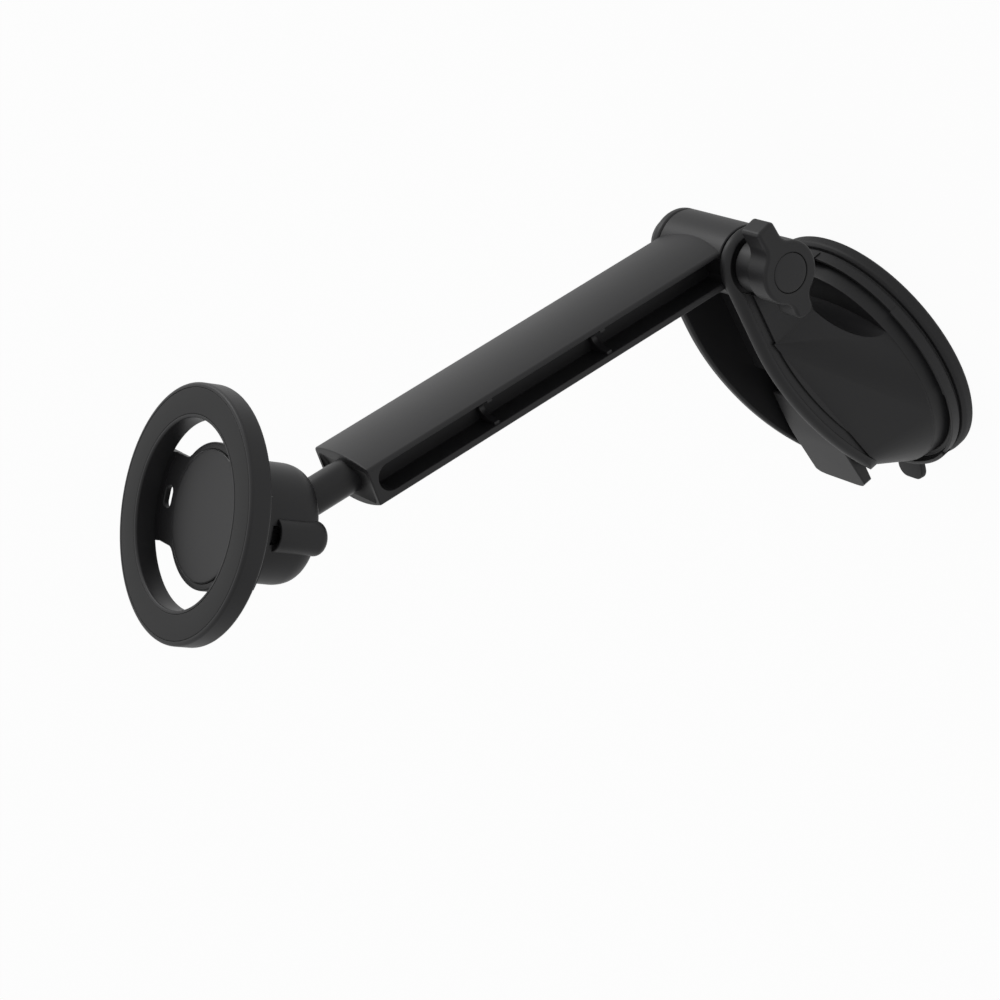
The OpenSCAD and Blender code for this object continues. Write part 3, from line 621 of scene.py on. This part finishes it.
def collar_nut():
    """Nut round the socket with a grip lobe on each side, cored from the front."""
    low, top, side_r, end_r, shoulder, edge = -5.4, 8.5, 13.8, 11.5, 4.5, 0.5
    thread_r, thread_low, waist_r, waist_z, mouth_r = 10.55, -0.2, 9.45, -3.9, 10.25
    outer = [(end_r + (side_r - end_r) * math.cos(math.radians(a)),
              low + shoulder * (1 + math.sin(math.radians(a)))) for a in range(-90, 1, 6)]
    profile = outer + arc(side_r - edge, top - edge, edge, 0, 90, 4)
    profile += [(thread_r, top), (thread_r, thread_low), (waist_r, waist_z),
                (mouth_r, low + 0.25), (mouth_r + 0.25, low)]
    body = lathe("collar_nut", profile, ON_HEAD, loop=True)
    lobe_r, lobe_at, lobe_low, lobe_top, lobe_end, lobe_bore = 4, 12.2, -6.6, 6.3, 2.2, 10.9
    core_r, core_at, core_low = 1.9, 13.6, -0.7
    for turn in (-90, 90):
        side = ON_HEAD @ Matrix.Rotation(math.radians(turn), 4, "Z")
        lobe = slab("lobe", circle(lobe_r, lobe_at), lobe_low, lobe_top, lobe_end, 0.4, side, 8)
        cut(lobe, slab("lobe_bore", circle(lobe_bore), -8, 8, place=side))
        add(body, lobe)
        cut(body, slab("core", circle(core_r, core_at), core_low, lobe_top, 0, -0.3, side))
    return dress(body, "collar_nut")


def ring_and_pad(front, outer, inner):
    """Ring cover with a shallow seat in its front, and the thin pad in the seat."""
    seat_out, seat_in, seat_depth, gap = 28.1, 22.1, 0.5, 0.05
    floor = front - seat_depth
    cover = rounded([(inner, RING_SPLIT, 0), (outer, RING_SPLIT, 0), (outer, front, 0.8),
                     (seat_out, front, 0.1), (seat_out, floor, 0), (seat_in, floor, 0),
                     (seat_in, front, 0.1), (inner, front, 0.5)])
    dress(lathe("ring_cover", cover, ON_HEAD, 180, loop=True), "ring_cover")
    pad = rounded([(seat_in + gap, floor, 0), (seat_out - gap, floor, 0),
                   (seat_out - gap, front, 0.2), (seat_in + gap, front, 0.2)])
    dress(lathe("face_pad", pad, ON_HEAD, 180, loop=True), "face_pad")


def frame_arms_outline(half, hub_r):
    """Two arms in plan, running into the hub through hollow fillets."""
    fillet, reach, inside = 2.5, 22.5, 0.4
    across = half + fillet
    along = math.sqrt((hub_r + fillet) ** 2 - across ** 2)
    lean = math.degrees(math.atan2(along, across))
    quarter = arc(across, along, fillet, 180 + lean, 180, 8)
    outline = quarter + [(half, reach), (-half, reach)] + [(-x, y) for x, y in reversed(quarter)]
    left = math.degrees(math.atan2(outline[-1][1], outline[-1][0]))
    outline += arc(0, 0, hub_r - inside, left, 180, 8)
    return outline + [(-x, -y) for x, y in outline[:-1]]


def head_frame(outer, inner):
    """Back half of the ring on two wide arms with a slit each, and the hub between them."""
    back, hub_r, hub_low, half, plate_low = 17.2, 16.6, 13.2, 10.4, 15.0
    rim = rounded([(inner, back, 0.3), (outer, back, 0.7), (outer, RING_SPLIT, 0), (inner, RING_SPLIT, 0)])
    body = lathe("head_frame", rim, steps=180, loop=True)
    # Faces that would lie on each other are buried by this depth
    bury = 0.03
    arms = slab("arms", frame_arms_outline(half, hub_r), plate_low, HUB_TOP - bury, 0.3, 0.3)
    wide, long, block_out, block_top = half - bury, 30, 25.9, back + 0.2
    strip = slab("block_strip", [(-wide, -long), (wide, -long), (wide, long), (-wide, long)], 10, 20)
    blocks = lathe("blocks", [(inner + bury, plate_low + bury), (block_out, plate_low + bury),
                              (block_out, block_top), (inner + bury, block_top)], steps=180, loop=True)
    cut(blocks, strip, operation="INTERSECT")
    add(body, blocks, arms)
    add(body, slab("hub", circle(hub_r, steps=144), hub_low, HUB_TOP, 0.3, 0.5))
    seat_r, seat_depth = 15.05, 1.2
    cut(body, slab("cap_seat", circle(seat_r, steps=144), HUB_TOP - seat_depth, HUB_TOP, 0, -0.15))
    slit_half, slit_at, slit_r = 1.1, 18.6, 1.6
    for side in (-1, 1):
        slit = (arc(slit_half, side * slit_at, slit_r, -90, 90, 12)
                + arc(-slit_half, side * slit_at, slit_r, 90, 270, 12))
        cut(body, slab("slit", slit, plate_low, HUB_TOP, -0.1, -0.25))
    body.data.transform(metres(ON_HEAD))
    dress(body, "head_frame")


def ring_head():
    """Ring cover with its pad, the frame behind it, and the cap in the frame's hub."""
    front, outer, inner = 22.4, 29.2, 21.3
    ring_and_pad(front, outer, inner)
    head_frame(outer, inner)
    radius, low, edge, centre_rise = 15, HUB_TOP - 1.2, 0.4, 0.3
    cap = [(0, low), (radius, low), (radius, HUB_TOP - 0.1)]
    cap += arc(radius - edge, HUB_TOP, edge, 0, 90, 5) + [(13.9, HUB_TOP + 0.38), (0, HUB_TOP + centre_rise)]
    dress(lathe("hub_cap", cap, ON_HEAD, 180), "hub_cap", crease=45)


def ball_stud():
    """Ball on a stem whose root sits in the arm."""
    stem_x, ball_at = 1.5, 133.9
    place = ON_ARM @ Matrix.Translation((stem_x, 0, ball_at))
    ball_r, neck_r, stem_r, foot, steps = 8, 3.5, 4.29, -35.6, 28
    profile = [(0, foot), (stem_r, foot), (stem_r, -10.1), (4.2, -9.9), (neck_r, -8.5)]
    neck = math.degrees(math.asin(neck_r / ball_r))
    profile += [(ball_r * math.sin(math.radians(a)), -ball_r * math.cos(math.radians(a)))
                for a in [neck + (180 - neck) * k / steps for k in range(steps + 1)]]
    dress(lathe("ball_stud", profile, place, 96), "ball_stud")


def cup():
    """Soft cup with its pull tab, and the thin skin in its middle."""
    inner, outer, top, lip_out, lip_in, lip_top = 24.3, 34, 4.0, 32.2, 30, 5.0
    rim = rounded([(inner, 0, 0.3), (32.9, 0, 1.2), (outer, 1.0, 0.9), (outer, 3.2, 1.2), (33.2, top, 0.5),
                   (lip_out, top, 0.3), (lip_out, lip_top, 0), (lip_in, lip_top, 0), (29, 2.8, 0.8),
                   (inner, 1.9, 0)])
    body = lathe("suction_cup", rim, steps=180, loop=True)
    tab_l, tab_w, radius, thick, root, lift, edge = 7.5, 9.2, 3.0, 1.8, 1, 14, 0.35
    place = Matrix.Translation((-outer, 0, 3.65)) @ Matrix.Rotation(math.radians(lift), 4, "Y")
    plan = rounded([(-tab_l, tab_w / 2, radius), (-tab_l, -tab_w / 2, radius),
                    (root, -tab_w / 2, 0), (root, tab_w / 2, 0)], 10)
    add(body, slab("tab", plan, -thick / 2, thick / 2, edge, edge, place))
    dress(body, "suction_cup")
    skin = [(0, 2.4), (8, 2.4), (24, 0), (24, 1.8), (17, 2.75), (10, 3.95), (0, 3.95)]
    middle = dress(lathe("cup_membrane", skin, steps=144), "cup_membrane", crease=50)
    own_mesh(middle)


def base():
    """Stiff plate with its boss, and a channel behind the wall that presses on the cup."""
    low, under, wall_r, wall_top, wall_in, channel = 5.0, 8.5, 33.2, 7.6, 29.2, 5.9
    boss_r, boss_top, bore_r, pocket_r, pocket_z = 9.5, 13.7, 4.05, 7.2, 11.2
    profile = rounded([(30.4, low, 0), (wall_r, low, 0.25), (wall_r, wall_top, 0.15), (32.5, 7.7, 0.15),
                       (32.3, channel, 0.3), (30.9, channel, 0.4), (30.2, 9.6, 0.2), (PLATE_R, PLATE_Z, 0.15),
                       (boss_r + 0.1, PLATE_Z, 0), (boss_r, boss_top, 0.3), (bore_r, boss_top, 0),
                       (bore_r, pocket_z, 0), (pocket_r, pocket_z, 0), (pocket_r, under, 0),
                       (wall_in, under, 0), (wall_in, low, 0)])
    body = lathe("base_plate", profile, steps=180, loop=True)
    first, wide, pad_out, pad_in, pad_low, pad_top = -94.5, 45, 33.5, 32.5, 5.4, 8.1
    pad = arc(0, 0, pad_out, first, first + wide, 24) + arc(0, 0, pad_in, first + wide, first, 24)
    pads = turned_copies("wall_pads", slab("wall_pads", pad, pad_low, pad_top, 0.15, 0.25), 4,
                         "moulded_black")
    add(body, pads)
    dress(body, "base_plate")


def arm_rib(side):
    """Cross rib of a slot, hollowed at its outer edge, lying across the arm at its root."""
    thick, inner, outer, bury, hollow_half, hollow_depth, edge = 1.5, 4.6, 11.4, 0.4, 2.6, 5.0, 0.2
    middle = (SLOT_LOW + SLOT_TOP) / 2
    low, top = SLOT_LOW - bury, SLOT_TOP + bury
    hollow = [(middle + hollow_half * math.cos(math.radians(a)),
               outer - hollow_depth * math.sin(math.radians(a))) for a in range(0, 181, 12)]
    plan = [(low, inner), (top, inner), (top, outer)] + hollow + [(low, outer)]
    rib = [(x, side * y) for x, y in plan]
    return slab("arm_rib", rib if side > 0 else rib[::-1], -thick / 2, thick / 2, edge, edge)


def slot_ribs():
    """Two cross ribs in each of the arm's slots."""
    first, spacing = 43.5, 33.9
    row = ON_ARM @ Matrix.Translation((0, 0, first + spacing / 2)) @ Matrix.Rotation(math.pi / 2, 4, "Y")
    lay = Matrix.Rotation(-math.pi / 2, 4, "Y")
    both = []
    for side in (-1, 1):
        rib = arm_rib(side)
        rib.data.transform(lay)
        both.append(grid_copies("slot_ribs", rib, 2, 1, spacing, 0, "moulded_black", metres(row)))
    return both


def lever_plate():
    """Plate that runs level from the cams, then falls to a tongue with rounded corners."""
    thick, tip, tip_z, fall_x, fall_r = 2.4, -26.6, 25.5, -10.0, 40
    under, tip_under, step_front, step_back, step_r = WEB_Z - thick, tip_z - thick, -18, -13, 6
    side = rounded([(tip, tip_under, 0.8), (step_front, tip_under, step_r), (step_back, under, step_r),
                    (LEVER_BACK, under, 0), (LEVER_BACK, WEB_Z, 0.8), (fall_x, WEB_Z, fall_r),
                    (tip, tip_z, 0.9)], 8)
    body = slab("cam_lever", side, -LEVER_HALF, LEVER_HALF, 0.5, 0.5, ACROSS)
    end_r, end_half, corner_r, wide, past = 41, 8, 2.9, LEVER_HALF + 0.3, 10
    corner_x = tip + end_r - math.sqrt(end_r ** 2 - LEVER_HALF ** 2)
    end = arc(tip + end_r, 0, end_r, 180 - end_half, 180 + end_half, 10)
    plan = rounded([(corner_x, wide, corner_r)] + [(*p, 0) for p in end]
                   + [(corner_x, -wide, corner_r), (past, -wide, 0), (past, wide, 0)], 8)
    return cut(body, slab("tongue_plan", plan, 10, 40), operation="INTERSECT")


def lever():
    """Lever folded flat between the ears, with two cams round its pin and a rib along each edge."""
    throw, cam_r, cam_in, cam_out, root_x, root_top = 1.1, 5.25, 4.2, 8.4, -4.6, WEB_Z - 1
    rib_in, rib_out, rib_end, rib_low = LEVER_HALF - 1.4, LEVER_HALF - 0.2, -15, PIN_Z + 3.4
    root = [(root_x, PIN_Z), (LEVER_BACK, PIN_Z), (LEVER_BACK, root_top), (root_x, root_top)]
    rib = [(0, root_top), (rib_end, WEB_Z - 1.6), (rib_end, WEB_Z - 3), (-12, rib_low), (0, rib_low)]
    body = lever_plate()
    for turn in (-1, 1):
        level = sorted((turn * cam_in, turn * cam_out))
        cam = slab("cam", circle(cam_r, -throw, PIN_Z - throw), *level, 0.3, 0.3, ACROSS)
        add(cam, slab("cam_root", root, *level, place=ACROSS))
        add(body, cam, slab("rib", rib, *sorted((turn * rib_in, turn * rib_out)), place=ACROSS))
    pin_bore = 1.55
    cut(body, slab("pin_bore", circle(pin_bore, 0, PIN_Z), -20, 20, place=ACROSS))
    return dress(body, "cam_lever", even=True)


def screw(name, head_r, head_h, cone_h, shank_r, length, drive_r):
    """Screw with its head at z = 0 and its shank along +z, with a hexagon drive."""
    edge = min(0.15, head_h / 2)
    pitch, thread_depth, point = 0.5, 0.12, 0.3
    thread_start = head_h + cone_h + point
    profile = [(0, 0), (head_r - edge, 0), (head_r, edge), (head_r, head_h), (shank_r, head_h + cone_h)]
    for k in range(int((length - thread_start - point) / pitch)):
        z = thread_start + pitch * k
        profile += [(shank_r - thread_depth, z), (shank_r, z + 0.2)]
    profile += [(shank_r - point, length), (0, length)]
    body = lathe(name, profile, steps=32)
    return cut(body, slab("drive", circle(drive_r, steps=6), -1, (head_h + cone_h) * 0.7))


def screws():
    """Four screws that hold the housing on the base plate, and three round the hub."""
    head_z, width, depth = PLATE_Z - 3.1, 18, 36
    one = screw("housing_screws", head_r=2.5, head_h=1.8, cone_h=0.3, shank_r=1.2, length=6.6, drive_r=1.1)
    place = metres(Matrix.Translation((0, 0, head_z)))
    dress(grid_copies("screw_grid", one, 2, 2, width, depth, "screw_steel", place), "housing_screws")
    turn, at, sink = 60, 12.2, 1.25
    one = screw("hub_screws", head_r=1.4, head_h=0.2, cone_h=0.4, shank_r=1.05, length=4.6, drive_r=0.7)
    one.data.transform(metres(Matrix.Rotation(math.radians(turn), 4, "Z") @ Matrix.Translation((at, 0, 0))
                              @ Matrix.Rotation(math.pi, 4, "X")))
    place = metres(ON_HEAD @ Matrix.Translation((0, 0, HUB_TOP - sink)))
    dress(turned_copies("hub_screw_ring", one, 3, "screw_steel", place), "hub_screws")


def magnets():
    """Ring of magnets in the cover's groove."""
    count, play, outer, inner, thick, edge, lift = 16, 0.8, 27.4, 23, 2.4, 0.2, 0.7
    wide = 360 / count - play
    outline = arc(0, 0, outer, 0, wide, 8) + arc(0, 0, inner, wide, 0, 8)
    place = metres(ON_HEAD @ Matrix.Translation((0, 0, RING_SPLIT + lift)))
    magnet = slab("magnet_ring", outline, 0, thick, edge, edge)
    dress(turned_copies("magnet_circle", magnet, count, "magnet_plating", place), "magnet_ring")


def spring():
    """Release spring round the cup's stud, coiled along a spiral."""
    low, high, wire, radius = 6.35, 10.65, 0.5, 5.8
    growth = Growth("release_spring", Radius=radius * MM, Wire=wire * MM, Height=(high - low) * MM, Turns=3.5)
    path = growth.node("GeometryNodeCurveSpiral", inputs={
        "Resolution": 48, "Rotations": growth["Turns"], "Start Radius": growth["Radius"],
        "End Radius": growth["Radius"], "Height": growth["Height"]})
    profile = growth.node("GeometryNodeCurvePrimitiveCircle", inputs={
        "Resolution": 12, "Radius": growth["Wire"]})
    coil = growth.node("GeometryNodeCurveToMesh", inputs={
        "Curve": path, "Profile Curve": profile, "Fill Caps": True})
    seed = slab("release_spring", [(0, 0), (1, 0), (0, 1)], 0, 1)
    coiled = growth.grow(seed, coil, "screw_steel", metres(Matrix.Translation((0, 0, low))))
    dress(coiled, "release_spring", crease=60)
    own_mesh(coiled)


def lamp(name, place, target, size, power):
    """Round lamp turned from its place to its target."""
    light = bpy.data.lights.new(name, "AREA")
    light.shape = "DISK"
    light.size = size
    light.energy = power
    body = bpy.data.objects.new(name, light)
    body.location = place
    body.rotation_euler = (Vector(target) - Vector(place)).to_track_quat("-Z", "Y").to_euler()
    bpy.context.scene.collection.objects.link(body)


def floor():
    """Pale floor under the cup, whose mirror image in the plastic grows brighter behind the holder."""
    bpy.ops.mesh.primitive_plane_add(size=16)
    sheet = bpy.context.object
    sheet.name = "floor"
    paper = Finish(bpy.data.materials.new("floor_paper"))
    seen = paper.node("ShaderNodeLightPath", output="Is Camera Ray")
    mirrored = paper.node("ShaderNodeLightPath", output="Is Glossy Ray")
    lit = paper.node("ShaderNodeBsdfDiffuse", inputs={"Color": (0.80, 0.80, 0.80, 1)})
    own = paper.node("ShaderNodeEmission", inputs={"Color": (1, 1, 1, 1), "Strength": 1.0})
    where = paper.node("ShaderNodeTexCoord", output="Object")
    behind = paper.node("ShaderNodeSeparateXYZ", inputs={0: where}, output="Y")
    glow = paper.node("ShaderNodeMapRange", inputs={
        "Value": behind, "From Min": 0.02, "From Max": 0.18, "To Min": 0.32, "To Max": 0.85})
    seen_share = 0.96
    share = seen * seen_share + mirrored * glow
    sheet.data.materials.append(paper.close(
        paper.node("ShaderNodeMixShader", inputs={0: share, 1: lit, 2: own})))


def surroundings():
    """Light from all round that is brighter behind the holder and dimmer above it, white to the camera."""
    world = bpy.data.worlds.new("surroundings")
    bpy.context.scene.world = world
    sky = Finish(world)
    ahead = sky.node("ShaderNodeTexCoord", output="Generated")
    x, y, z = [sky.node("ShaderNodeSeparateXYZ", inputs={0: ahead}, output=axis) for axis in "XYZ"]
    even, aside, behind, above, dimmest = 0.64, 0.08, 0.16, 0.12, 0.06
    level = even + aside * x + behind * y - above * z
    level = level.math("MAXIMUM", level, dimmest)
    camera_ray = sky.node("ShaderNodeLightPath", output="Is Camera Ray")
    strength = level + camera_ray * (1 - level)
    back = sky.node("ShaderNodeBackground", inputs={"Color": (1, 1, 1, 1), "Strength": strength})
    sky.node("ShaderNodeOutputWorld", inputs={"Surface": back})


camera()
housing()
lever()
arm()
knob()
collar_nut()
ring_head()
ball_stud()
cup()
base()
screws()
magnets()
spring()
floor()
surroundings()
lamp("key", place=(1.05, 0.80, 0.17), target=(0.04, 0, 0.03), size=0.4, power=2.5)
bpy.context.scene.view_settings.view_transform = "Standard"
